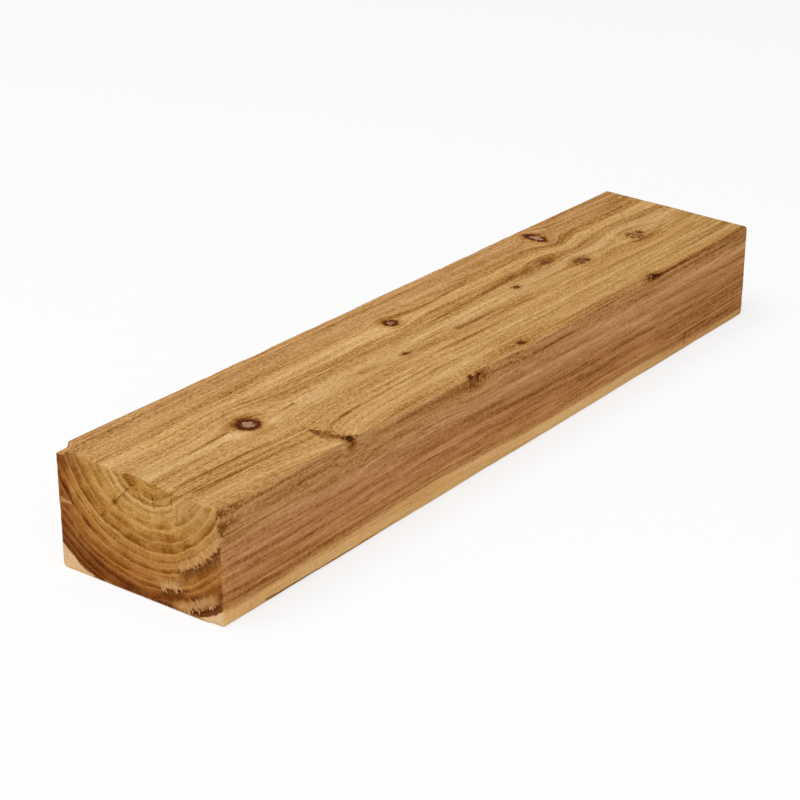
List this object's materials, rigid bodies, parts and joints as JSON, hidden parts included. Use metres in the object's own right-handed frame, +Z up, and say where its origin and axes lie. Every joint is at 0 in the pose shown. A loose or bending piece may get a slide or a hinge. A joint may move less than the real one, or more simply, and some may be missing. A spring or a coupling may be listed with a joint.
{
  "type": "timber plank",
  "caption": "Short thick length of rough-sawn timber with a flat rectangular section, worn long edges, sawn ends, a broken top corner and a torn heart on one end.",
  "frame": {"origin": "centre of the bounding box on the underside the timber lies on", "axes": "+X along the length, away from the end with the torn heart; +Y across the width, towards the thicker long edge; +Z up"},
  "size_m": [0.6, 0.124, 0.0769],
  "materials": {
    "timber": "rough sawn and unfinished"
  },
  "bodies": {
    "root": {"timber": "timber"}
  },
  "joints": []
}
